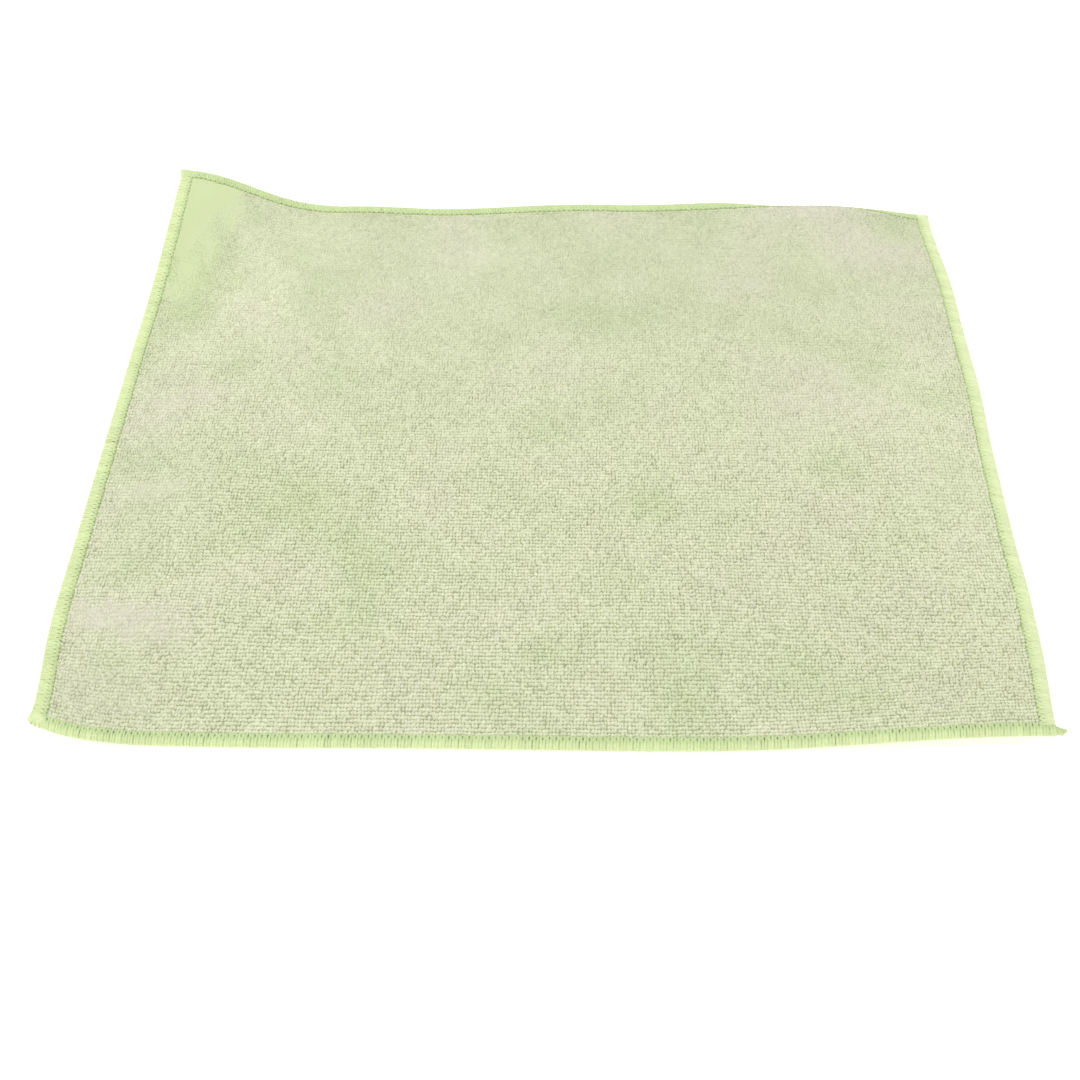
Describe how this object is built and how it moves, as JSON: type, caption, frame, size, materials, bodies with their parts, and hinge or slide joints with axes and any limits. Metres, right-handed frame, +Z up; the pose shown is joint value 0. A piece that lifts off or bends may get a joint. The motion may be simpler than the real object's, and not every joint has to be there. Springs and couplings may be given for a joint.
{
  "type": "microfibre cloth",
  "caption": "Square terry cleaning cloth lying almost flat, with a sewn thread edging all round, soft swells and one lifted back corner.",
  "frame": {"origin": "middle of the bounding box, on the surface that the cloth lies on", "axes": "+X along the front side to the right, +Y from the front side to the back, +Z up"},
  "size_m": [0.3508, 0.3528, 0.022],
  "materials": {
    "terry": "looped microfibre terry, pale yellow-green, matt with a soft sheen",
    "thread": "textured overlock thread, light lime green, matt"
  },
  "bodies": {
    "root": {"terry_sheet": "terry", "overlock_front": "thread", "overlock_right": "thread", "overlock_back": "thread", "overlock_left": "thread"}
  },
  "joints": []
}
